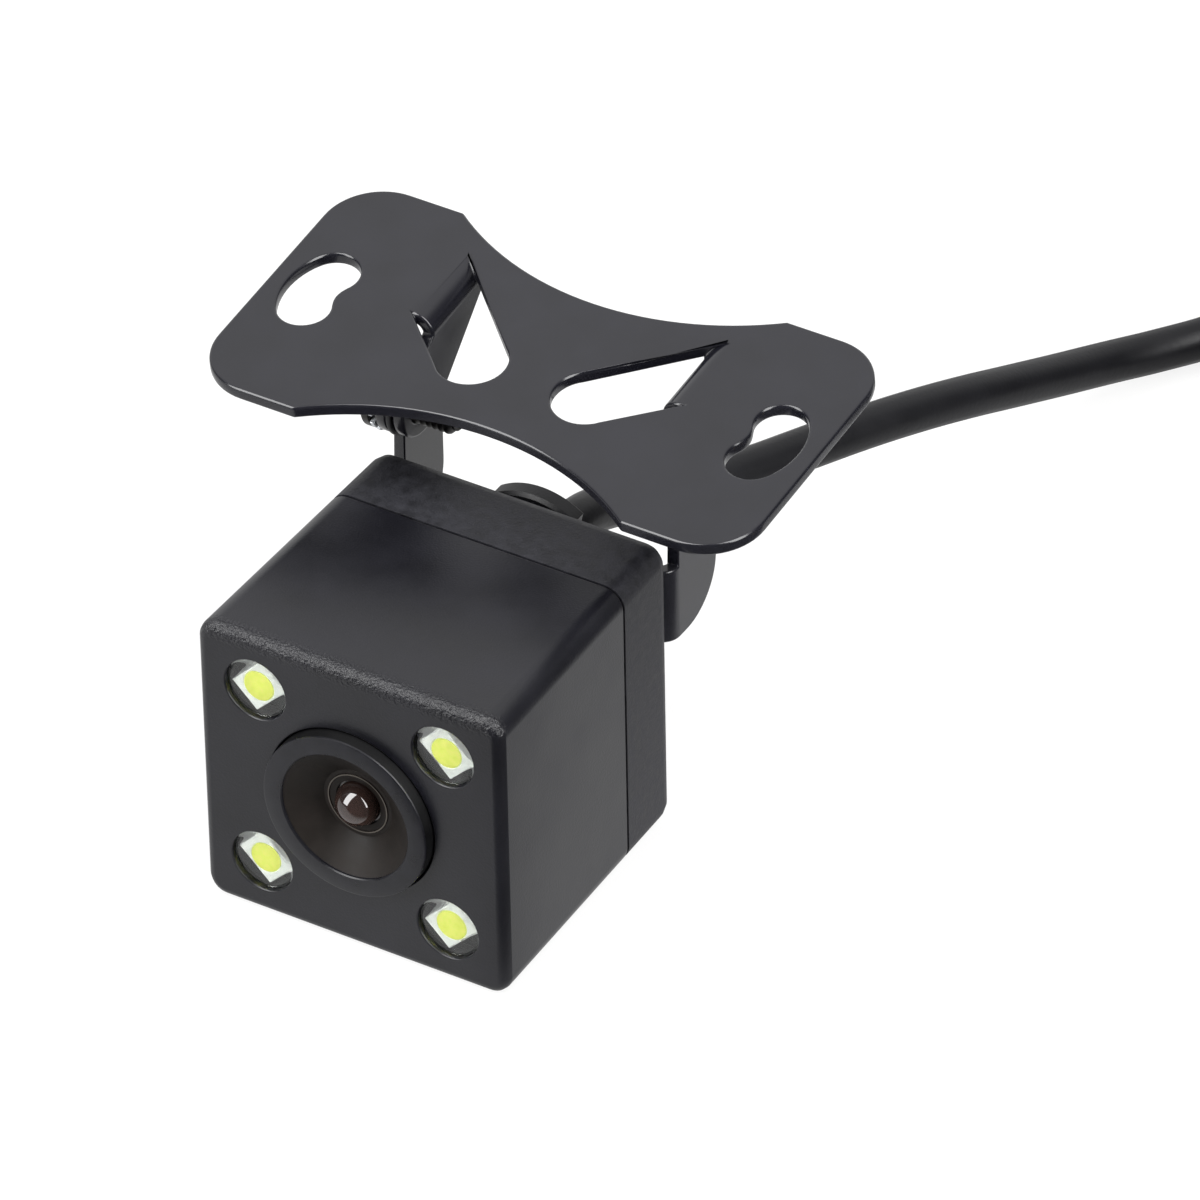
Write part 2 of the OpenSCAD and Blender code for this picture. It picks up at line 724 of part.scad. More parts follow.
// Pin header between the two boards
module light_header() color("#26262a") at_depth(front_wall + board_t) translate([0, -header_z, 0]) {
    linear_extrude(header_t) square([header_w, header_b], center = true);
    for (s = sides) translate([s * header_pitch / 2, 0, 0])
        linear_extrude(board_depth - front_wall - board_t) square(header_pin, center = true);
}

// The strip's outline seen from above: flat behind the camera, bent back at both ends
module yoke_bends() {
    difference() {
        union() {
            translate([-arm_out + bend_end, 0]) square([2 * (arm_out - bend_end), bend_end]);
            for (s = sides) translate([s * (arm_out - bend_end), bend_end]) intersection() {
                circle(bend_end);
                translate([-bend_end, -bend_end]) square([2 * bend_end, bend_end]);
            }
        }
        for (s = sides) translate([s * (arm_out - bend_end), bend_end]) circle(yoke_bend_r);
        translate([-arm_out + bend_end, yoke_t]) square([2 * (arm_out - bend_end), bend_end]);
    }
}

// An arm's outline in Y and Z, measured from the rear face and the base
module arm_outline() {
    end = [pivot_back, pivot_z];
    rear_top = tangent([arm_back, neck_top], end, arm_end_r, -1);
    front_low = [bend_end, strap_low];
    corner = [arm_back - arm_corner_r, strap_low + arm_corner_r];
    difference() {
        union() {
            polygon([
                front_low, [corner.x, strap_low], [arm_back, corner.y], [arm_back, neck_top],
                rear_top, end, [bend_end, pivot_z]
            ]);
            intersection() {
                translate(corner) circle(arm_corner_r);
                translate([bend_end, strap_low]) square(2 * arm_corner_r);
            }
            translate(end) circle(arm_end_r);
        }
        translate(end) circle(pivot_hole_r);
    }
}

// Point where a line from a point touches a circle on one side of it, a blend inside its edge
function tangent(from, centre, r, side) =
    let (d = from - centre, inner = r - blend, a = atan2(d.y, d.x) - side * acos(inner / norm(d)))
    centre + inner * [cos(a), sin(a)];

// Bent steel yoke: a strip held behind the camera by the gland nut, and an arm on each side
module yoke() color("#4a4b4f") {
    difference() {
        union() {
            translate([0, rear_y, strap_low]) linear_extrude(strap_h) yoke_bends();
            at_gland() cylinder(r = strap_lobe_r, h = yoke_t);
        }
        at_gland(-cut) intersection() {
            cylinder(r = gland_r + fit, h = yoke_t + 2 * cut);
            translate([-gland_flat - fit, -gland_d, 0])
                cube([2 * (gland_flat + fit), 2 * gland_d, yoke_t + 2 * cut]);
        }
    }
    for (x = [-arm_out, arm_in]) translate([x, rear_y, 0])
        rotate([90, 0, 90]) linear_extrude(yoke_t) arm_outline();
}

// Round nut that clamps the yoke on the boss, with four notches for a pin spanner
module gland_nut() color("#333438") at_gland(yoke_t) difference() {
    cylinder(d = gland_nut_d, h = gland_nut_t);
    translate([0, 0, -cut]) cylinder(r = gland_r + fit, h = gland_nut_t + 2 * cut);
    for (a = [45:90:315]) rotate(a) translate([gland_nut_d / 2, 0, -cut])
        cylinder(d = nut_notch_d, h = gland_nut_t + 2 * cut);
}

// Moulded rubber relief: a flange inside the cover, a neck in the boss and a tapered sleeve
module strain_relief() color("#1e1e20") at_gland() rotate_extrude() polygon([
    [cable_r + fit, -rear_wall - relief_flange_t], [relief_flange_r, -rear_wall - relief_flange_t],
    [relief_flange_r, -rear_wall], [relief_neck_r, -rear_wall], [relief_neck_r, boss_len],
    [relief_tip_r, boss_len + relief_len], [cable_r + fit, boss_len + relief_len]
]);

// Four cores between the socket and the end of the jacket
module core_wires() color("#b23a2e") at_cores()
    translate([0, 0, board_back + connector_t - wire_grip])
        cylinder(r = core_r, h = lead_end - board_back - connector_t + wire_grip);

// The cable's own jacket inside the camera and the relief
module inner_lead() color("#1e1e20") at_gland(lead_end - body_d)
    cylinder(r = cable_r, h = relief_end_y - front_y - lead_end);

// The cable's free run over the floor, and the rest of its length as a coil with its tail
module cable() color("#26272a") tube(route, cable_r, 8);
module cable_coil() color("#26272a") tube(coil_path, cable_r, 6);

// Two straps round the coil, which also stand it on the floor
module coil_ties() color("#17181a") for (a = tie_angles) {
    in_r = coil_in_r - cable_r - tie_room;
    out_r = coil_r(0) + cable_r + tie_room;
    tie_h = coil_low + coil_pitch + cable_r + tie_room - tie_t;
    translate([coil_centre.x, coil_centre.y, 0]) rotate(a)
        translate([(in_r + out_r) / 2, tie_w / 2, tie_t + tie_h / 2])
            rotate([90, 0, 0]) linear_extrude(tie_w) difference() {
                rounded(out_r - in_r + 2 * tie_t, tie_h + 2 * tie_t, tie_r + tie_t);
                rounded(out_r - in_r, tie_h, tie_r);
            }
}

// Children whose Z runs from the cable's end along the plug
module at_plug() {
    translate(plug_at) rotate([90, 0, 0]) children();
}

// Moulded plug body with a tapered tail and a grip neck
module plug_body() color("#1e1e20") at_plug() difference() {
    r = plug_d / 2;
    rotate_extrude() polygon([
        [0, 0], [cable_r + plug_tail_wall, 0], [r - plug_ease, plug_taper_len],
        [r, plug_taper_len + plug_ease], [r, plug_len - plug_ease], [r - plug_ease, plug_len], [0, plug_len]
    ]);
    translate([0, 0, plug_len - jack_root]) cylinder(d = jack_d + 2 * fit, h = jack_root + cut);
}

// Metal contact pin of the plug, with grooves for its insulating rings
module plug_pin() color("#c8b06a") at_plug() difference() {
    point_len = plug_tip_len / 2;
    union() {
        translate([0, 0, plug_len - jack_root]) cylinder(d = jack_d, h = jack_len + jack_root - point_len);
        translate([0, 0, plug_len + jack_len - point_len])
            cylinder(d1 = jack_d, d2 = jack_d / 2, h = point_len);
    }
    at_plug_rings() plug_ring(fit, jack_d + 2 * cut);
}

module at_plug_rings() {
    for (i = [0:2]) translate([0, 0, plug_len + jack_len - plug_tip_len - i * plug_ring_gap]) children();
}

// An insulating ring set in the pin's surface, or the groove for it with a gap all round
module plug_ring(gap, d = jack_d) {
    translate([0, 0, -gap]) difference() {
        cylinder(d = d, h = plug_ring_t + 2 * gap);
        translate([0, 0, -cut])
            cylinder(d = jack_d - 2 * (plug_ring_depth + gap), h = plug_ring_t + 2 * gap + 2 * cut);
    }
}

module plug_rings() color("#17181a") at_plug() at_plug_rings() plug_ring(0);

// Children on the right side and mirrored on the left
module both_sides() {
    children();
    mirror([1, 0, 0]) children();
}

// The plate's flat outline: two wings joined by a waist
module plate_outline() {
    difference() {
        rounded(plate_l, plate_b, wing_r);
        for (s = sides) translate([0, s * (waist_b / 2 + waist_r)]) circle(waist_r, $fn = 128);
        both_sides() {
            screw_slot();
            tab_shape([fold_x, fold_front], [fold_x, fold_rear], [cutout_x, tab_y]);
        }
    }
}

// A kidney-shaped slot that bows outwards
module screw_slot() {
    a = slot_half_angle;
    far = 2 * (slot_arc_r + slot_w);
    translate([slot_x, 0]) {
        intersection() {
            difference() {
                circle(slot_arc_r + slot_w / 2);
                circle(slot_arc_r - slot_w / 2);
            }
            polygon([[0, 0], far * [cos(a), -sin(a)], far * [cos(a), sin(a)]]);
        }
        for (s = sides) rotate(s * a) translate([slot_arc_r, 0]) circle(slot_w / 2 - blend);
    }
}

// A tab's outline: from its fold line, along two tangents, to its round end
module tab_shape(front, rear, end) {
    turn = sign(cross(rear - front, end - front));
    polygon([
        front, rear, tangent(rear, end, tab_end_r, -turn), end, tangent(front, end, tab_end_r, turn)
    ]);
    translate(end) circle(tab_end_r);
}

// One tab folded down on the right side of the plate
module folded_tab() {
    translate([fold_x, fold_rear, -bend_out]) rotate([90, 0, 0])
        linear_extrude(fold_rear - fold_front) intersection() {
            difference() {
                circle(bend_out);
                circle(tab_bend_r);
            }
            translate([-bend_out, 0]) square(bend_out);
        }
    translate([tab_in, 0, 0]) rotate([90, 0, 90]) linear_extrude(plate_t) difference() {
        tab_shape([fold_front, -bend_out], [fold_rear, -bend_out], [tab_y, -tab_drop]);
        translate([tab_y, -tab_drop]) circle(screw_r + fit);
    }
}

// Painted steel mounting plate with its two tabs folded down
module bracket_plate() color("#4a4b4f") at_plate() {
    translate([0, 0, -plate_t]) linear_extrude(plate_t) plate_outline();
    both_sides() folded_tab();
}

// Pan-head pivot screws, put in from the outside into the tapped tabs
module pivot_screws() color("#2b2c2f") on_pivot(thread_x) difference() {
    head_at = head_x - thread_x;
    union() {
        cylinder(r = screw_r, h = head_at);
        translate([0, 0, head_at]) cylinder(d = head_d, h = head_h);
    }
    translate([0, 0, head_at + head_h]) mirror([0, 0, 1]) cross_recess(head_d, head_h / 2);
}

// Toothed lock washers between the heads and the arms
module lock_washers() color("#85888c") on_pivot(lock_x) linear_extrude(lock_t) difference() {
    union() {
        circle(d = washer_d - 2 * tooth_len);
        for (i = [1:lock_teeth]) rotate(360 * i / lock_teeth) translate([0, -tooth_w / 2])
            square([washer_d / 2, tooth_w]);
    }
    circle(screw_r + fit);
}

// Nylon friction washers between the tabs and the arms
module friction_washers() color("#26262a") on_pivot(tab_out) difference() {
    cylinder(d = washer_d, h = washer_t);
    translate([0, 0, -cut]) cylinder(r = screw_r + fit, h = washer_t + 2 * cut);
}

front_housing();
rear_cover();
housing_seal();
cover_screws();
lens_barrel();
lens_seal();
front_lens();
lens_spacer();
second_lens();
lens_stop();
rear_lens();
lens_retainer();
lens_holder();
ir_filter();
image_sensor();
sensor_board();
board_screws();
video_chip();
board_connector();
led_board();
led_packages();
led_phosphors();
led_windows();
light_header();
yoke();
gland_nut();
strain_relief();
core_wires();
inner_lead();
cable();
cable_coil();
coil_ties();
plug_body();
plug_pin();
plug_rings();
bracket_plate();
pivot_screws();
lock_washers();
friction_washers();
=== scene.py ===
"""Looks of the backup camera: a black cube camera on a hinged butterfly bracket, with its lead."""
import json
import math

import bmesh
import bpy
import numpy as np
from mathutils import Matrix, Vector


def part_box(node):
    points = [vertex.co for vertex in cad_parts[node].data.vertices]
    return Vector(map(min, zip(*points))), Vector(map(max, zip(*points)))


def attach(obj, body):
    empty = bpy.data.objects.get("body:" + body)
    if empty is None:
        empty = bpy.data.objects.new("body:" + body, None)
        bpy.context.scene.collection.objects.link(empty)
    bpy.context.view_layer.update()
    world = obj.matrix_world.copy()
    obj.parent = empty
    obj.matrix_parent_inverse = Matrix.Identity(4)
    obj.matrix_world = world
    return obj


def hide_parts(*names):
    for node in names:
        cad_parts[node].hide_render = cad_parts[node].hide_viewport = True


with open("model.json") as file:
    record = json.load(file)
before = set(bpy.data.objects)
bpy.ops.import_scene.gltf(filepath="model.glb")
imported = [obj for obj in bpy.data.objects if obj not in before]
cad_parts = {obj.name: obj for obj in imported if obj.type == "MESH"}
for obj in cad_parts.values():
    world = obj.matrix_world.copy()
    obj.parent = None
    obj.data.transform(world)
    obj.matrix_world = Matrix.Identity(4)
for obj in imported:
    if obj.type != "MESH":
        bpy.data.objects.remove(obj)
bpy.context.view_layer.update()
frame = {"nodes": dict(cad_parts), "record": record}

scene = bpy.context.scene
scene.view_settings.view_transform = "Standard"
MM = 0.001

# Camera: a long lens less than a metre away, to the right of the part and above it, looking down
# at it. The frame is square.
view_azimuth, view_elevation, view_roll = (math.radians(a) for a in (31.50, 37.54, -1.16))
view_place = Vector((359.6, -571.5, 537.0)) * MM
view_forward = Vector((
    -math.sin(view_azimuth) * math.cos(view_elevation),
    math.cos(view_azimuth) * math.cos(view_elevation),
    -math.sin(view_elevation),
))
view_level = Vector((math.cos(view_azimuth), math.sin(view_azimuth), 0))
view_right = view_level * math.cos(view_roll) + view_level.cross(view_forward) * math.sin(view_roll)
view_up = view_right.cross(view_forward)
camera_data = bpy.data.cameras.new("photo_camera")
camera_data.sensor_width = 36
camera_data.lens = 360
camera_data.clip_start = 0.01
photo_camera = bpy.data.objects.new("photo_camera", camera_data)
photo_camera.matrix_world = Matrix((view_right, view_up, -view_forward)).transposed().to_4x4()
photo_camera.location = view_place
scene.collection.objects.link(photo_camera)
scene.camera = photo_camera


# Lead: a round video and power cable in a soft black PVC jacket, moulded into the strain relief
# and into its plug. It falls to the floor behind the camera, and its length is coiled and tied.
def linear(hex_code):
    """An sRGB hex colour as linear red, green, blue and alpha."""
    s = np.array([int(hex_code[i:i + 2], 16) / 255 for i in (1, 3, 5)])
    return (*np.where(s <= 0.04045, s / 12.92, ((s + 0.055) / 1.055) ** 2.4), 1.0)


def add(tree, kind, settings=None, inputs=None, stops=()):
    """Adds one node: settings are its properties, inputs are values or the sockets that feed it, and
    stops are the places and hex colours of a ramp."""
    node = tree.nodes.new(kind)
    for name, value in (settings or {}).items():
        setattr(node, name, value)
    for name, value in (inputs or {}).items():
        if isinstance(value, bpy.types.NodeSocket):
            tree.links.new(value, node.inputs[name])
        else:
            node.inputs[name].default_value = value
    for (place, colour), stop in zip(stops, node.color_ramp.elements if stops else ()):
        stop.position = place
        stop.color = linear(colour)
    return node


def worked_finish(name, dark, light, patch, shine, grit, depth, **fixed):
    """A material with one Principled shader. Over patches of some millimetres its colour drifts from
    dark to light and its roughness between the two values of shine. Its bump is grit of some
    millimetres, depth millimetres high. The other sockets are set as fixed says."""
    finish = bpy.data.materials.new(name)
    finish.use_nodes = True
    tree = finish.node_tree
    shader = tree.nodes["Principled BSDF"]
    for socket, value in fixed.items():
        shader.inputs[socket.replace("_", " ")].default_value = value
    place = add(tree, "ShaderNodeTexCoord").outputs["Object"]
    patches = add(tree, "ShaderNodeTexNoise", inputs={
        "Vector": place, "Scale": 1 / (patch * MM), "Detail": 3.0,
    })
    drift = patches.outputs["Fac"]
    colour = add(tree, "ShaderNodeValToRGB", inputs={"Fac": drift}, stops=((0.3, dark), (0.7, light)))
    gloss = add(tree, "ShaderNodeMapRange", inputs={
        "Value": drift, "From Min": 0.3, "From Max": 0.7, "To Min": shine[0], "To Max": shine[1],
    })
    grain = add(tree, "ShaderNodeTexNoise", inputs={
        "Vector": place, "Scale": 1 / (grit * MM), "Detail": 2.0,
    })
    bump = add(tree, "ShaderNodeBump", inputs={"Height": grain.outputs["Fac"], "Distance": depth * MM})
    tree.links.new(colour.outputs["Color"], shader.inputs["Base Color"])
    tree.links.new(gloss.outputs["Result"], shader.inputs["Roughness"])
    tree.links.new(bump.outputs["Normal"], shader.inputs["Normal"])
    return finish


# Extruded PVC is matt black to the eye, a little uneven in its shine
jacket_pvc = worked_finish(
    "soft_black_pvc", "#09090c", "#101013", patch=6.0, shine=(0.36, 0.46), grit=0.35, depth=0.015,
    IOR=1.4, Specular_IOR_Level=0.35,
)
lead_d = 3.3
relief_tip_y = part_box("cable")[0][1] / MM
gland_z = 17.6
# The lead leaves straight, sinks in a long curve and runs along the floor to the coil
free_run = [
    (0, relief_tip_y, gland_z), (0, relief_tip_y + 0.6, gland_z),
    (0, relief_tip_y + 2.2, gland_z - 0.25), (0.1, relief_tip_y + 4.5, gland_z - 1),
    (1.2, 21.5, 13.95), (2.4, 25.5, 12.8), (4, 30, 11.9), (5.8, 35, 11.15), (7.6, 40, 10.4),
    (9.2, 45, 9.3), (10.6, 50, 7.85), (11.8, 55, 6.1), (13, 60, 4.35), (14.6, 65, 2.9),
    (16.9, 69.3, 2.2), (19.5, 73, 2.2), (21.5, 76.7, 2.4),
]
coil_centre = np.array((49, 77.5))
coil_slack = 0.5
coil_pitch = lead_d + coil_slack
coil_turns = 5.5
coil_in_r = 15
coil_start = math.radians(160)
coil_low = 2.55
points_per_turn = 24
# The coil spirals in on its lower layer and out on its upper one: radius, height and angle by turn
turn = np.arange(coil_turns * points_per_turn + 1) / points_per_turn
turn_angle = coil_start - 2 * math.pi * turn
turn_r = coil_in_r + coil_pitch * np.abs(turn - coil_turns / 2)
turn_z = coil_low + coil_pitch * np.clip((turn - coil_turns / 2) * 2 + 0.5, 0, 1)
coil = np.column_stack((
    coil_centre[0] + turn_r * np.cos(turn_angle), coil_centre[1] + turn_r * np.sin(turn_angle), turn_z,
))
coil_heading = np.column_stack((np.sin(turn_angle), -np.cos(turn_angle), 0 * turn_angle))
plug_r = 4.0
plug_at = np.array((70.5, 50.8, plug_r))
tail = [(71.2, 61.8, 5.9), (70.6, 57.8, 4.7), plug_at + (0, lead_d, 0), plug_at]
lead_points = np.vstack((
    free_run,
    coil[0] - 2 * lead_d * coil_heading[0], coil[0] - lead_d * coil_heading[0],
    coil,
    coil[-1] + lead_d * coil_heading[-1],
    tail,
)) * MM
lead_curve = bpy.data.curves.new("lead", "CURVE")
lead_curve.dimensions = "3D"
lead_curve.bevel_depth = lead_d / 2 * MM
lead_curve.bevel_resolution = 5
lead_curve.resolution_u = 4
lead_curve.use_fill_caps = True
spline = lead_curve.splines.new("BEZIER")
spline.bezier_points.add(len(lead_points) - 1)
spline.bezier_points.foreach_set("co", lead_points.ravel())
for point in spline.bezier_points:
    point.handle_left_type = point.handle_right_type = "AUTO"
lead_curve.materials.append(jacket_pvc)
lead = bpy.data.objects.new("lead", lead_curve)
scene.collection.objects.link(lead)
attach(lead, "camera")
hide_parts("cable", "cable_coil")


# Coil ties: two hook-and-loop straps woven of black nylon, each closed round all the turns. They
# keep the coil together and stand it on the floor.
def rounded_loop(width, height, corner, steps):
    """Points round a rectangle with round corners, and the outward direction at each: each corner's
    arc has its own centre, and the straight sides join the arcs."""
    quarter = np.repeat(np.arange(4), steps)
    angle = np.radians(quarter * 90 + np.tile(np.linspace(0, 90, steps), 4))
    middle = np.radians(quarter * 90 + 45)
    out = np.column_stack((np.cos(angle), np.sin(angle)))
    corner_sign = np.sign(np.column_stack((np.cos(middle), np.sin(middle))))
    return corner_sign * (width / 2 - corner, height / 2 - corner) + corner * out, out


def grid_faces(rows, columns, closed_rows=False):
    """Quads of a grid that is closed along its columns, and along its rows where that is asked."""
    strips = rows if closed_rows else rows - 1
    row, column = np.meshgrid(np.arange(strips), np.arange(columns), indexing="ij")
    below, after = (row + 1) % rows, (column + 1) % columns
    corners = (
        row * columns + column, row * columns + after,
        below * columns + after, below * columns + column,
    )
    return np.stack(corners, -1).reshape(-1, 4)


double_points, crease_turn = 0.0005, 35


def new_mesh(name, grids, *finishes):
    """One mesh object of some grids of points, in metres, and quads. Grid i has finish i, or the last
    one. Double points are joined, faces turned outwards and shaded smooth up to the crease angle."""
    starts = np.cumsum([0] + [len(points) for points, _ in grids])
    vertices = np.vstack([points for points, _ in grids])
    faces = np.vstack([quads + start for (_, quads), start in zip(grids, starts)])
    mesh = bpy.data.meshes.new(name)
    mesh.from_pydata(vertices.tolist(), [], faces.tolist())
    grid_slot = [min(i, len(finishes) - 1) for i in range(len(grids))]
    face_slot = np.repeat(grid_slot, [len(quads) for _, quads in grids])
    mesh.polygons.foreach_set("material_index", face_slot)
    work = bmesh.new()
    work.from_mesh(mesh)
    bmesh.ops.remove_doubles(work, verts=work.verts, dist=double_points * MM)
    bmesh.ops.dissolve_degenerate(work, edges=work.edges, dist=double_points * MM)
    bmesh.ops.recalc_face_normals(work, faces=work.faces)
    work.to_mesh(mesh)
    work.free()
    mesh.shade_smooth()
    mesh.set_sharp_from_angle(angle=math.radians(crease_turn))
    for finish in finishes:
        mesh.materials.append(finish)
    made = bpy.data.objects.new(name, mesh)
    scene.collection.objects.link(made)
    return made


def stand_for(piece, node, body="camera"):
    """The piece rides on the body and replaces the node, which is hidden."""
    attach(piece, body)
    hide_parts(node)


tie_w, tie_t, tie_corner, tie_edge_r, tie_gap = 4.0, 0.8, 1.6, 0.3, 0.3
first_tie = 80
tie_in = coil_in_r - lead_d / 2 - tie_gap
tie_out = coil_in_r + coil_pitch * coil_turns / 2 + lead_d / 2 + tie_gap
tie_high = coil_low + coil_pitch + lead_d / 2 + tie_gap
tie_path, tie_outward = rounded_loop(tie_out - tie_in + tie_t, tie_high, tie_corner, 9)
tie_edge, _ = rounded_loop(tie_t, tie_w, tie_edge_r, 4)
tie_grids = []
for tie_angle in np.radians((first_tie, first_tie + 180)):
    away = np.array((math.cos(tie_angle), math.sin(tie_angle), 0))
    across = np.array((-math.sin(tie_angle), math.cos(tie_angle), 0))
    upright = np.array((away, (0, 0, 1)))
    centre = (*coil_centre, tie_t / 2 + tie_high / 2) + away * (tie_in + tie_out) / 2
    spine = centre + tie_path @ upright
    points = spine[:, None] + tie_edge[None, :, :1] * (tie_outward @ upright)[:, None]
    points = points + tie_edge[None, :, 1:] * across
    tie_grids.append((points.reshape(-1, 3) * MM, grid_faces(len(spine), len(tie_edge), True)))
# Woven nylon looks matt, a fine cloth of crossing threads, drawn about twice too coarse so that it shows
strap_weave = worked_finish(
    "woven_nylon_strap", "#0f0f10", "#19191b", patch=2.5, shine=(0.7, 0.85), grit=0.5, depth=0.03,
    Sheen_Weight=0.3,
)
tree = strap_weave.node_tree
turned_place = add(tree, "ShaderNodeMapping", inputs={
    "Vector": tree.nodes["Texture Coordinate"].outputs["Object"],
    "Rotation": (0, 0, math.radians(-first_tie)),
})
thread_w, thread_h = 0.45, 0.12
threads = add(tree, "ShaderNodeTexChecker", inputs={
    "Vector": turned_place.outputs["Vector"], "Scale": 1 / (thread_w * MM),
})
woven = add(tree, "ShaderNodeBump", inputs={
    "Height": threads.outputs["Fac"], "Distance": thread_h * MM,
    "Normal": tree.nodes["Bump"].outputs["Normal"],
})
tree.links.new(woven.outputs["Normal"], tree.nodes["Principled BSDF"].inputs["Normal"])
coil_ties = new_mesh("coil_ties_finished", tie_grids, strap_weave)
stand_for(coil_ties, "coil_ties")


# Plug: a four-pole jack on the lead's end. Its body is soft PVC moulded over the solder joints, with
# grip rings. Its pin is brass, turned and gold plated, with three black insulating rings.
def turned(origin, axis, radius, along, steps=96):
    """A surface turned about an axis, as points and quads: point (i, j) lies along[i] from the origin
    down the axis and radius[i] off it, at the angle 2 pi j / steps. Both may differ with the angle."""
    axis = np.array(axis, float)
    side = np.array((0, 0, 1.0))
    other = np.cross(axis, side)
    angle = np.linspace(0, 2 * math.pi, steps, endpoint=False)
    radius, along = (np.asarray(a, float).reshape(len(a), -1, 1) for a in (radius, along))
    spokes = np.cos(angle)[:, None] * side + np.sin(angle)[:, None] * other
    points = np.array(origin, float) + along * axis + radius * spokes
    return points.reshape(-1, 3) * MM, grid_faces(len(radius), steps)


plug_len = 22.0
body_along = np.linspace(0, plug_len, 221)
body_r = np.interp(
    body_along, (0, 0.4, 8.8, 9.8, 21.0, 21.7, plug_len), (1.9, 2.25, 3.0, plug_r, plug_r, 3.7, 3.2),
)
groove_pitch = 1.6


def grooves(start, end, deep):
    """How deep the plug body is cut along its length: a raised cosine, cubed to narrow it, once a pitch."""
    wave = 0.5 - 0.5 * np.cos(2 * math.pi * (body_along - start) / groove_pitch)
    return deep * np.where((body_along > start) & (body_along < end), wave, 0) ** 3


grip_rings = grooves(11.2, 19.2, 0.35)
tail_slits = grooves(1.2, 7.6, 0.25)
# Moulded PVC looks soft and greyish black, with the mould's even grain
plug_pvc = worked_finish(
    "moulded_black_pvc", "#111112", "#19191b", patch=4.0, shine=(0.45, 0.6), grit=0.25, depth=0.02,
    IOR=1.53,
)
plug_body = new_mesh("plug_body_finished", [
    turned(plug_at, (0, -1, 0), [0, *(body_r - grip_rings - tail_slits), 0], [0, *body_along, plug_len]),
], plug_pvc)
stand_for(plug_body, "plug_body")


flat_turn, sharp_turn = 0.5, 32


def finished_copy(node, finish, edge, body="camera", segments=2, weld=double_points, clamp=False):
    """A copy of a CAD node with points nearer than weld millimetres and its flat faces joined, its sharp
    edges eased by edge millimetres and its shading weighted to the flat faces. It stands for the node.
    With clamp the easing stays narrower than the smallest gap between edges."""
    work = bmesh.new()
    work.from_mesh(frame["nodes"][node].data)
    bmesh.ops.remove_doubles(work, verts=work.verts, dist=weld * MM)
    bmesh.ops.dissolve_limit(work, angle_limit=math.radians(flat_turn), verts=work.verts, edges=work.edges)
    for face in work.faces:
        face.smooth = True
        face.material_index = 0
    mesh = bpy.data.meshes.new(node + "_finished")
    work.to_mesh(mesh)
    work.free()
    mesh.materials.append(finish)
    piece = bpy.data.objects.new(node + "_finished", mesh)
    scene.collection.objects.link(piece)
    eased = piece.modifiers.new("eased edges", "BEVEL")
    eased.width = edge * MM
    eased.segments = segments
    eased.limit_method = "ANGLE"
    eased.angle_limit = math.radians(sharp_turn)
    eased.use_clamp_overlap = clamp
    piece.modifiers.new("flat faces", "WEIGHTED_NORMAL").keep_sharp = False
    stand_for(piece, node, body)
    return piece


def coat(finish, *nodes):
    """Puts a finish on CAD nodes that keep their own shape."""
    for node in nodes:
        for holder in frame["nodes"][node].material_slots:
            holder.material = finish


# Gold plate looks bright and warm, with fine turning marks
gold_plate = worked_finish(
    "gold_plated_brass", "#b8954a", "#d8b566", patch=1.5, shine=(0.16, 0.26), grit=0.12, depth=0.004,
    Metallic=1.0,
)
# Acetal is a smooth black with a low, waxy shine
ring_plastic = worked_finish(
    "black_acetal", "#141415", "#1c1c1e", patch=1.0, shine=(0.35, 0.45), grit=0.2, depth=0.004,
    IOR=1.48,
)
plug_pin = finished_copy("plug_pin", gold_plate, edge=0.12)
plug_rings = finished_copy("plug_rings", ring_plastic, edge=0.04)

# Floor: a plain pale table top, matt and almost even. It is drawn near white for the camera with part of
# its own shading, so that the soft shadow stays. Mirrors see it white too, with a painted shadow that dims
# it to the front right, standing in for the part's own shadow thrown that way.
table_top = worked_finish(
    "pale_table_top", "#f4f4f2", "#f7f7f5", patch=40.0, shine=(0.85, 0.95), grit=1.0, depth=0.01,
)
tree = table_top.node_tree
ray = add(tree, "ShaderNodeLightPath").outputs
# Painted shadow: seen in mirrors, the floor fades past a line to a dim level towards the front right
dim_way = Vector((0.87, -0.5, 0))
dim_from, dim_to = 16, 28
mirror_white, mirror_painted_shadow = 0.78, 0.1
seen_white = 0.86
dim_way_along = add(tree, "ShaderNodeVectorMath", {"operation": "DOT_PRODUCT"}, {
    0: tree.nodes["Texture Coordinate"].outputs["Object"], 1: dim_way,
})
mirror_glow = add(tree, "ShaderNodeMapRange", {"interpolation_type": "SMOOTHSTEP"}, {
    "Value": dim_way_along.outputs["Value"], "From Min": dim_from * MM, "From Max": dim_to * MM,
    "To Min": mirror_white, "To Max": mirror_painted_shadow,
})
seen = add(tree, "ShaderNodeMath", {"operation": "MULTIPLY"}, {0: ray["Is Camera Ray"], 1: seen_white})
mirrored = add(tree, "ShaderNodeMath", {"operation": "MAXIMUM"}, {
    0: ray["Is Glossy Ray"], 1: ray["Is Transmission Ray"],
})
share = add(tree, "ShaderNodeMath", {"operation": "MAXIMUM"}, {
    0: seen.outputs[0], 1: mirrored.outputs[0],
})
brightness = add(tree, "ShaderNodeMath", {"operation": "MAXIMUM"}, {
    0: mirror_glow.outputs["Result"], 1: ray["Is Camera Ray"],
})
glow = add(tree, "ShaderNodeEmission", inputs={
    "Color": linear("#ffffff"), "Strength": brightness.outputs[0],
})
mixed = add(tree, "ShaderNodeMixShader", inputs={
    "Fac": share.outputs[0], 1: tree.nodes["Principled BSDF"].outputs["BSDF"],
    2: glow.outputs["Emission"],
})
tree.links.new(mixed.outputs["Shader"], tree.nodes["Material Output"].inputs["Surface"])
floor_half = 3000.0
floor_z = -0.02
floor_corners = np.array(((-1, -1), (1, -1), (1, 1), (-1, 1))) * floor_half
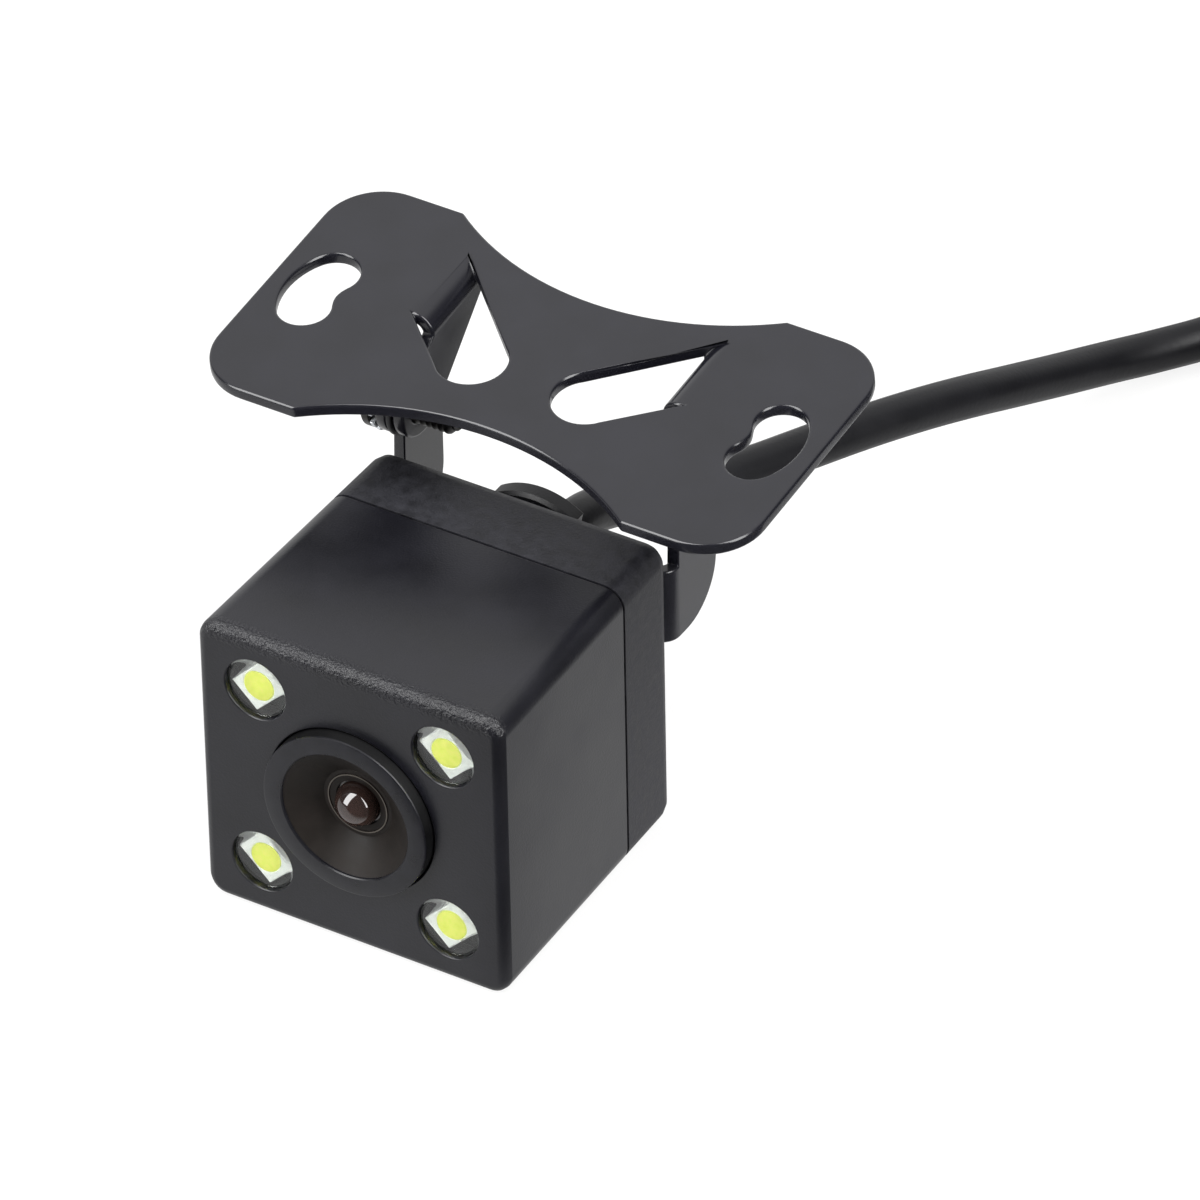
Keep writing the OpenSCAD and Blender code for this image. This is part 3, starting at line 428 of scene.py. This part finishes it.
floor = new_mesh("floor", [
    (np.column_stack((floor_corners, np.full(4, floor_z))) * MM, np.array(((0, 1, 2, 3),))),
], table_top)

# Studio: a white sweep behind the part and to its left in a dimmer room, and two tall soft boxes, at the
# front left and at the right. The lens's dome mirrors them, and the painted edges shine in them.
world = bpy.data.worlds.new("studio")
scene.world = world
world.use_nodes = True
tree = world.node_tree
sweep_middle = Vector((-0.42, 0.61, 0.67)).normalized()
sweep_edge, sweep_full = 0.35, 0.8
dim_room = 0.12
towards = add(tree, "ShaderNodeVectorMath", {"operation": "DOT_PRODUCT"}, {
    0: add(tree, "ShaderNodeTexCoord").outputs["Generated"], 1: sweep_middle,
})
sweep = add(tree, "ShaderNodeMapRange", {"interpolation_type": "SMOOTHSTEP"}, {
    "Value": towards.outputs["Value"], "From Min": sweep_edge, "From Max": sweep_full,
    "To Min": dim_room, "To Max": 1.0,
})
ray = add(tree, "ShaderNodeLightPath").outputs
backdrop = add(tree, "ShaderNodeMath", {"operation": "MAXIMUM"}, {
    0: ray["Is Camera Ray"], 1: ray["Is Transmission Ray"],
})
strength = add(tree, "ShaderNodeMath", {"operation": "MAXIMUM"}, {
    0: sweep.outputs["Result"], 1: backdrop.outputs[0],
})
tree.links.new(strength.outputs[0], tree.nodes["Background"].inputs["Strength"])
tree.nodes["Background"].inputs["Color"].default_value = linear("#ffffff")
lamp_aim = Vector((0, -5, 15)) * MM
lamp_distance = 0.8
lamp_w, lamp_h, lamp_watts = 0.4, 1.1, 12.0
for lamp_name, azimuth, elevation in (("left_box", -36, 42), ("right_box", 78, 40)):
    lamp_data = bpy.data.lights.new(lamp_name, "AREA")
    lamp_data.shape = "RECTANGLE"
    lamp_data.size, lamp_data.size_y = lamp_w, lamp_h
    lamp_data.energy = lamp_watts
    lamp = bpy.data.objects.new(lamp_name, lamp_data)
    across, up = math.radians(azimuth), math.radians(elevation)
    towards_lamp = Vector((
        math.sin(across) * math.cos(up), -math.cos(across) * math.cos(up), math.sin(up),
    ))
    lamp.location = lamp_aim + lamp_distance * towards_lamp
    lamp.rotation_euler = (-towards_lamp).to_track_quat("-Z", "Y").to_euler()
    scene.collection.objects.link(lamp)

# Housing: two moulded ABS shells with a spark-eroded texture, screwed together at a fine open seam.
# The mould was left rough along the front face's upper edge, so the grain is coarse there.
housing_low, housing_high = (np.array(corner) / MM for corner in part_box("front_housing"))
lens_z = (housing_low[2] + housing_high[2]) / 2
front_y = housing_low[1]
# Textured ABS is dark and half matt: the eye sees the pale room spread over it
shell_abs = worked_finish(
    "textured_black_abs", "#0a0a0f", "#101016", patch=5.0, shine=(0.28, 0.36), grit=0.16, depth=0.012,
    IOR=1.5,
)
tree = shell_abs.node_tree
place = tree.nodes["Texture Coordinate"].outputs["Object"]
spot = add(tree, "ShaderNodeSeparateXYZ", inputs={"Vector": place}).outputs
edge_band = 1.5
pit_w, pit_h = 0.24, 0.17
near_top = add(tree, "ShaderNodeMapRange", inputs={
    "Value": spot["Z"], "From Min": (housing_high[2] - edge_band) * MM,
    "From Max": (housing_high[2] - edge_band / 2) * MM,
})
near_front = add(tree, "ShaderNodeMapRange", inputs={
    "Value": spot["Y"], "From Min": (front_y + edge_band) * MM,
    "From Max": (front_y + edge_band / 2) * MM,
})
rough_edge = add(tree, "ShaderNodeMath", {"operation": "MULTIPLY"}, {
    0: near_top.outputs["Result"], 1: near_front.outputs["Result"],
})
pitted = add(tree, "ShaderNodeTexNoise", inputs={"Vector": place, "Scale": 1 / (pit_w * MM), "Detail": 3.0})
coarse = add(tree, "ShaderNodeBump", inputs={
    "Height": pitted.outputs["Fac"], "Distance": pit_h * MM, "Strength": rough_edge.outputs[0],
    "Normal": tree.nodes["Bump"].outputs["Normal"],
})
tree.links.new(coarse.outputs["Normal"], tree.nodes["Principled BSDF"].inputs["Normal"])
front_housing = finished_copy("front_housing", shell_abs, edge=0.12)
# The front shell's rear edge stops short of the cover, which leaves the seam's dark line
seam_gap = 0.16
shell_points = np.empty((len(front_housing.data.vertices), 3), np.float32)
front_housing.data.vertices.foreach_get("co", shell_points.reshape(-1))
at_seam = shell_points[:, 1] > (housing_high[1] - seam_gap) * MM
shell_points[at_seam, 1] -= seam_gap * MM
front_housing.data.vertices.foreach_set("co", shell_points.reshape(-1))
# The cover's moulding looks duller and a little greyer, with small scuffs
cover_abs = worked_finish(
    "scuffed_black_abs", "#0f0f14", "#1e1e24", patch=0.8, shine=(0.48, 0.62), grit=0.2, depth=0.03,
    IOR=1.5,
)
finished_copy("rear_cover", cover_abs, edge=0.05, clamp=True)

# Housing seal and cover screws: a square rubber gasket lies in the cover's groove, and four black
# pan-head screws draw the shells together from behind, sunk in their holes.
# Rubber is a dull black that takes no highlight
gasket_rubber = worked_finish(
    "matt_black_rubber", "#121213", "#1a1a1b", patch=3.0, shine=(0.6, 0.75), grit=0.3, depth=0.02,
    IOR=1.5,
)
coat(gasket_rubber, "housing_seal", "lens_seal")
# Black oxide on steel looks dark and oily, with grey patches
black_oxide = worked_finish(
    "black_oxide_steel", "#2a2928", "#3a3938", patch=0.8, shine=(0.3, 0.45), grit=0.1, depth=0.004,
    Metallic=1.0,
)
finished_copy("cover_screws", black_oxide, edge=0.1)

# Lens barrel: turned and anodised black, pushed through the front wall so that its flat rim stands
# proud. The brown-black cone inside it shades the glass, and a thin bright lip at its floor holds it.
barrel_low, barrel_high = (np.array(corner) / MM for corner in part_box("lens_barrel"))
rim_depth = barrel_low[1] - front_y
barrel_end = barrel_high[1] - front_y
rim_r = (barrel_high[0] - barrel_low[0]) / 2
lens_axis = np.array((0, front_y, lens_z))
cone_r, cone_floor_r, cone_end = 5.2, 2.9, rim_depth + 1.9
mouth_step = 0.22
dome_r, dome_h = 1.7, 1.9
glass_r, glass_depth, glass_t = 2.7, cone_end + 0.3, 0.8
seat_r = glass_r + 0.02
shoulder_r, shoulder_depth = 6.0, 5.0
lip_r, lip_h = 2.4, 0.08
ease, mouth_ease, floor_ease = 0.14, 0.08, 0.1
# Each profile is rows of distance from the lens axis and depth behind the front face
wall_profile = np.array((
    (seat_r, barrel_end), (shoulder_r, barrel_end), (shoulder_r, shoulder_depth), (rim_r, shoulder_depth),
    (rim_r, rim_depth + ease),
))
rim_profile = np.array((
    (rim_r, rim_depth + ease), (rim_r - ease * 0.3, rim_depth + ease * 0.3), (rim_r - ease, rim_depth),
    (cone_r + mouth_ease, rim_depth), (cone_r, rim_depth + mouth_ease),
    (cone_r - 0.02, rim_depth + mouth_step),
))
cone_profile = np.array((
    (cone_r - 0.02, rim_depth + mouth_step), (cone_floor_r, cone_end - floor_ease),
    (cone_floor_r - floor_ease, cone_end), (lip_r + 0.1, cone_end),
))
lip_profile = np.array((
    (lip_r + 0.1, cone_end), (lip_r + 0.06, cone_end - lip_h),
    (lip_r - 0.04, cone_end - lip_h), (lip_r - 0.08, cone_end),
))
seat_profile = np.array((
    (lip_r - 0.08, cone_end), (dome_r + 0.15, cone_end + 0.06), (dome_r + 0.1, glass_depth),
    (seat_r, glass_depth), (seat_r, barrel_end),
))
# Black anodising has a soft shine
barrel_finish = worked_finish(
    "black_anodised_barrel", "#0c0c10", "#121217", patch=1.2, shine=(0.26, 0.34), grit=0.15, depth=0.004,
    IOR=1.42,
)
# The lip is bare bright metal where the tool rolled it over the glass
rolled_lip = worked_finish(
    "bare_rolled_lip", "#5a5550", "#6e6862", patch=1.2, shine=(0.2, 0.3), grit=0.15, depth=0.004,
    Metallic=1.0,
)
# The rim's side is drawn a dead black that takes little reflection: partly its own darker black, partly
# painted shade of the narrow gap round it
rim_black_and_painted_shade = worked_finish(
    "rim_black_and_painted_shade_barrel", "#060607", "#0a0a0b", patch=1.2, shine=(0.45, 0.55), grit=0.15, depth=0.004,
    Specular_IOR_Level=0.15,
)
# The cone's lacquer is a matt brown-black that swallows stray light
cone_lacquer = worked_finish(
    "brown_black_lacquer", "#120e0b", "#17120f", patch=1.2, shine=(0.5, 0.6), grit=0.15, depth=0.004,
    Specular_IOR_Level=0.2,
)
lens_barrel = new_mesh("lens_barrel_finished", [
    turned(lens_axis, (0, 1, 0), *profile.T, steps=128)
    for profile in (wall_profile, rim_profile, cone_profile, lip_profile, seat_profile)
], rim_black_and_painted_shade, barrel_finish, cone_lacquer, rolled_lip, cone_lacquer)
stand_for(lens_barrel, "lens_barrel")

# Lens glass: the front element is a small ground dome, drawn opaque: under its clear glossy surface a deep
# brown of painted shade stands in for the dark barrel seen through the glass.
# Two inner elements, a spacer, a stop and a retaining ring follow it in the barrel.
dome_curve = (dome_r ** 2 + dome_h ** 2) / (2 * dome_h)
dome_edge = math.pi - math.asin(dome_r / dome_curve)
dome_turn = np.linspace(0, dome_edge, 40)
dome_depth = glass_depth - dome_h + dome_curve * (1 - np.cos(dome_turn))
front_profile = np.vstack((
    np.column_stack((dome_curve * np.sin(dome_turn), dome_depth)),
    ((glass_r, glass_depth), (glass_r, glass_depth + glass_t), (0, glass_depth + glass_t)),
))
# The dome mirrors the lamps sharply over a deep brown of painted shade
dome_glass_over_painted_shade = worked_finish(
    "lens_glass_over_painted_shade", "#1d1412", "#2a1e1a", patch=2.0, shine=(0.04, 0.07), grit=1.0, depth=0.0005,
    IOR=1.8,
)
front_lens = new_mesh("front_lens_finished", [
    turned(lens_axis, (0, 1, 0), *front_profile.T),
], dome_glass_over_painted_shade)
stand_for(front_lens, "front_lens")
# Optical glass is clear, with a faint blue cast
clear_glass = worked_finish(
    "optical_glass", "#dfe8f0", "#f0f4f8", patch=4.0, shine=(0.01, 0.03), grit=1.0, depth=0.0005,
    IOR=1.52, Transmission_Weight=1.0,
)
coat(clear_glass, "second_lens", "rear_lens")
# Blackened aluminium is a flat dark grey that hides stray light
ring_metal = worked_finish(
    "matt_black_aluminium", "#18181a", "#222224", patch=1.0, shine=(0.5, 0.6), grit=0.1, depth=0.005,
    Metallic=0.6,
)
coat(ring_metal, "lens_spacer", "lens_stop", "lens_retainer")

# Lights: four white surface-mount packages, each with a round pool of yellow phosphor, stand in
# recesses of the front wall. Clear resin is poured over each and shrinks from the wall as it sets.
light_offset = 7.7
light_places = [
    (x * light_offset, front_y, lens_z + z * light_offset) for x in (-1, 1) for z in (-1, 1)
]
package_top = 0.8
# White package plastic looks glossy. Its faint glow is painted light, standing in for the lamp light that
# the resin over it keeps from it
package_white = worked_finish(
    "white_package_plastic", "#f2f4f0", "#fafbf8", patch=1.0, shine=(0.25, 0.35), grit=0.15, depth=0.004,
    IOR=1.55, Emission_Color=linear("#ffffff"), Emission_Strength=0.12,
)
finished_copy("led_packages", package_white, edge=0.12)
# Phosphor in silicone is a waxy, bright greenish yellow. Its glow is partly its own fluorescence and partly
# painted light, making up for the lamp light that the resin over it keeps from it
pool_r, pool_depth, pool_dish = 1.2, 0.3, 0.12
pool_turn = np.linspace(0, 1, 12)
pool_profile = (
    [*(pool_r * pool_turn), pool_r, 0],
    [*(package_top - pool_dish * (1 - pool_turn ** 2)), package_top + pool_depth, package_top + pool_depth],
)
phosphor = worked_finish(
    "yellow_phosphor_silicone", "#e6f05c", "#f2f878", patch=0.5, shine=(0.35, 0.45), grit=0.08, depth=0.006,
    IOR=1.42, Emission_Color=linear("#eef27a"), Emission_Strength=0.15,
)
led_phosphors = new_mesh("led_phosphors_finished", [
    turned(spot_place, (0, 1, 0), *pool_profile, steps=48) for spot_place in light_places
], phosphor)
stand_for(led_phosphors, "led_phosphors")
# Resin is clear and smooth, and rounded off at the wall, where it catches the lamps
resin_r, resin_top, resin_fall = 2.48, 0.2, 0.22
resin_base = package_top - 0.01
resin_turn = np.sqrt(np.linspace(0, 1, 24))
resin_profile = (
    [*(resin_r * resin_turn), resin_r, 0],
    [*(resin_top + resin_fall * resin_turn ** 12), resin_base, resin_base],
)
clear_resin = worked_finish(
    "clear_cast_resin", "#f2f6f4", "#fbfdfb", patch=2.0, shine=(0.02, 0.05), grit=0.8, depth=0.004,
    IOR=1.46, Transmission_Weight=1.0,
)
led_windows = new_mesh("led_windows_finished", [
    turned(spot_place, (0, 1, 0), *resin_profile, steps=64) for spot_place in light_places
], clear_resin)
stand_for(led_windows, "led_windows")

# Boards: the lights' board with a black solder mask behind the front wall, and the green sensor board
# on its posts with the holder, filter, sensor, chip and wire socket. They are sealed inside.
# Black solder mask is an even, half-glossy lacquer
black_mask = worked_finish(
    "black_solder_mask", "#1a1c1d", "#242627", patch=1.5, shine=(0.3, 0.4), grit=0.2, depth=0.01,
    IOR=1.5,
)
coat(black_mask, "led_board")
# Green solder mask is glossier over the copper, whose tracks show through as paler lines
green_mask = worked_finish(
    "green_solder_mask", "#174a2f", "#226540", patch=1.5, shine=(0.3, 0.4), grit=0.2, depth=0.01,
    IOR=1.5,
)
tree = green_mask.node_tree
track_pitch = 3.0
tracks = add(tree, "ShaderNodeTexBrick", inputs={
    "Vector": tree.nodes["Texture Coordinate"].outputs["Object"], "Scale": 1 / (track_pitch * MM),
    "Color1": linear("#1a5434"), "Color2": linear("#1f5d3b"),
    "Mortar": linear("#3b8457"), "Mortar Size": 0.03,
})
tree.links.new(tracks.outputs["Color"], tree.nodes["Principled BSDF"].inputs["Base Color"])
coat(green_mask, "sensor_board")
# Black nylon has a soft, slightly uneven sheen from the mould
moulded_black = worked_finish(
    "moulded_black_nylon", "#0c0c0f", "#131316", patch=2.0, shine=(0.42, 0.52), grit=0.2, depth=0.012,
    IOR=1.46,
)
coat(moulded_black, "lens_holder", "light_header", "video_chip")
# The filter's coating gives its clear glass a pink cast
filter_glass = worked_finish(
    "infrared_filter_glass", "#d9a0a6", "#e8b8bc", patch=3.0, shine=(0.01, 0.03), grit=1.0, depth=0.0005,
    IOR=1.52, Transmission_Weight=1.0,
)
coat(filter_glass, "ir_filter")
# The sensor's ceramic and window look slate blue and glossy
sensor_ceramic = worked_finish(
    "sensor_ceramic", "#26303c", "#344252", patch=1.0, shine=(0.2, 0.35), grit=0.1, depth=0.004,
    IOR=1.6,
)
coat(sensor_ceramic, "image_sensor")
# Undyed nylon is a milky cream
natural_nylon = worked_finish(
    "natural_nylon", "#d6d2c4", "#e2dfd4", patch=2.0, shine=(0.4, 0.5), grit=0.2, depth=0.01,
    IOR=1.53,
)
coat(natural_nylon, "board_connector")
# Zinc plate is a pale, slightly cloudy metal that sparkles on small teeth
bright_zinc = worked_finish(
    "bright_zinc_plate", "#b9bdc2", "#dfe2e5", patch=0.6, shine=(0.3, 0.45), grit=0.08, depth=0.006,
    Metallic=1.0,
)
coat(bright_zinc, "board_screws")
# The cores' PVC is a plain, half-matt red
core_pvc = worked_finish(
    "red_core_pvc", "#8e2a20", "#a8382b", patch=2.0, shine=(0.4, 0.5), grit=0.2, depth=0.008,
    IOR=1.53,
)
coat(core_pvc, "core_wires")

# Yoke: a strip of sheet steel bent back into an arm on each side, clamped to the camera's back by the
# gland nut. Baked powder coat covers it and rounds its cut edges.
# Powder coat is smooth satin black: it mirrors the pale room softly and shines along its edges
powder_coat = worked_finish(
    "satin_black_powder_coat", "#111116", "#15151b", patch=4.0, shine=(0.16, 0.22), grit=0.6, depth=0.003,
    IOR=1.55,
)
finished_copy("yoke", powder_coat, edge=0.16)

# Gland: a thin moulded nut with four spanner notches holds the yoke on the cover's boss. A tapered
# rubber relief comes out of the boss and grips the lead, which runs on inside the camera.
nut_low, nut_high = (np.array(corner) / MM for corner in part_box("gland_nut"))
nut_t = nut_high[1] - nut_low[1]
nut_r, nut_bore_r, notch_r = 5.8, 3.02, 0.8
gland_at = np.array((0, nut_low[1], gland_z))
nut_steps = 288
nut_angle = np.linspace(0, 2 * math.pi, nut_steps, endpoint=False)
# A notch is an arc of notch_r about a point of the rim: distance from the axis by angle off that point
off_notch = (nut_angle % (math.pi / 2)) - math.pi / 4
in_notch = np.abs(nut_r * np.sin(off_notch)) < notch_r
notch_dip = np.sqrt(np.clip(notch_r ** 2 - (nut_r * np.sin(off_notch)) ** 2, 0, None))
nut_rim = np.where(in_notch, nut_r * np.cos(off_notch) - notch_dip, nut_r)
chamfer = 0.25
bore = np.full(nut_steps, nut_bore_r)
nut_rows = np.array((bore, nut_rim - chamfer, nut_rim, nut_rim, nut_rim - chamfer, bore, bore))
nut_along = (0, 0, chamfer, nut_t - chamfer, nut_t, nut_t, 0)
gland_nut = new_mesh("gland_nut_finished", [
    turned(gland_at, (0, 1, 0), nut_rows, nut_along, nut_steps),
], moulded_black)
stand_for(gland_nut, "gland_nut")
relief_low, relief_high = (np.array(corner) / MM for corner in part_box("strain_relief"))
relief_len = 2.4
flange_r, flange_t = 3.5, 0.8
sleeve_r, sleeve_tip_r = 2.4, 2.2
slit_first, slit_pitch, slit_depth = 0.6, 1.1, 0.22
sleeve_start = relief_high[1] - relief_low[1] - relief_len
sleeve_along = np.linspace(0, relief_len, 61)
# The sleeve tapers, less a raised cosine to the fourth power once a pitch, which cuts narrow slits
sleeve_slits = 0.5 - 0.5 * np.cos(2 * math.pi * (sleeve_along - slit_first) / slit_pitch)
sleeve_taper = np.interp(sleeve_along, (0, relief_len), (sleeve_r, sleeve_tip_r))
slit_sleeve = sleeve_taper - slit_depth * sleeve_slits ** 4
lead_bore = lead_d / 2 + 0.02
relief_profile = (
    [lead_bore, flange_r, flange_r, sleeve_r, *slit_sleeve, lead_bore, lead_bore],
    [0, 0, flange_t, flange_t, *(sleeve_start + sleeve_along), sleeve_start + relief_len, 0],
)
strain_relief = new_mesh("strain_relief_finished", [
    turned((0, relief_low[1], gland_z), (0, 1, 0), *relief_profile),
], gasket_rubber)
stand_for(strain_relief, "strain_relief")
coat(jacket_pvc, "inner_lead")

# Bracket plate: pressed from sheet steel into a butterfly with two kidney slots, its two tabs folded
# down, then powder coated like the yoke.
finished_copy("bracket_plate", powder_coat, edge=0.22, body="bracket", segments=3, weld=0.09)

# Pivot screws: two M3 pan-head screws with a cross recess, black oxide on steel. They pass through the
# yoke's arms into the tapped tabs, and their rolled thread stands out inside.
pivot_y, pivot_z = (at / MM for at in frame["record"]["behaviour"]["joints"][0]["pos_m"][1:])
screw_r, thread_depth, thread_pitch = 1.5, 0.27, 0.5
flank_gain, crest_flat = 1.3, 0.15
point_len, point_share = 0.4, 0.75
head_r, head_h, crown = 2.75, 1.2, 0.35
thread_x, thread_len = 6.2, 4.2
head_top_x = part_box("pivot_screws")[1][0] / MM
head_x = head_top_x - head_h - thread_x
screw_steps = 96
screw_angle = np.linspace(0, 2 * math.pi, screw_steps, endpoint=False)
# Thread: the radius falls and rises once a pitch between flats, and the phase runs on with the angle
thread_along = np.arange(0.0, thread_len, thread_pitch / 10)
phase = (thread_along[:, None] / thread_pitch - screw_angle / (2 * math.pi)) % 1
thread_r = screw_r - thread_depth * np.clip(np.abs(phase * 2 - 1) * flank_gain - crest_flat, 0, 1)
point = np.clip(thread_along / point_len, point_share, 1)[:, None]
# Head: a low crown, sunk where two crossing slots lie under it
face_inset, face_drop, head_ease = 0.25, 0.2, 0.1
slot_half, slot_slope = 0.42, 0.16
slot_reach, slot_end, slot_depth = 1.7, 0.5, 0.7
head_turn = np.linspace(1, 0, 48)
face_r = (head_r - face_inset) * head_turn[:, None] + 0 * screw_angle
slot_a = np.abs(face_r * np.cos(screw_angle))
slot_b = np.abs(face_r * np.sin(screw_angle))
in_slot = np.clip((slot_half - np.minimum(slot_a, slot_b)) / slot_slope, 0, 1)
recess = in_slot * np.clip((slot_reach - np.maximum(slot_a, slot_b)) / slot_end, 0, 1)
face_along = head_x + head_h - crown * head_turn[:, None] ** 2 - slot_depth * recess
level = np.ones(screw_steps)
screw_radius = np.vstack((
    0 * level, thread_r * point, screw_r * level, screw_r * level, (head_r - head_ease) * level,
    head_r * level, head_r * level, face_r,
))
screw_along = np.vstack((
    0 * level, thread_along[:, None] + 0 * level, thread_len * level, head_x * level, head_x * level,
    (head_x + head_ease) * level, (head_x + head_h - crown - face_drop) * level, face_along,
))
pivot_screws = new_mesh("pivot_screws_finished", [
    turned((way * thread_x, pivot_y, pivot_z), (way, 0, 0), screw_radius, screw_along, screw_steps)
    for way in (-1, 1)
], black_oxide)
stand_for(pivot_screws, "pivot_screws", "bracket")

# Washers: a toothed zinc-plated lock washer bites under each screw's head, and a black nylon friction
# washer between tab and arm holds the tilt where it is set.
finished_copy("lock_washers", bright_zinc, edge=0.06, body="bracket")
finished_copy("friction_washers", moulded_black, edge=0.06, body="bracket")
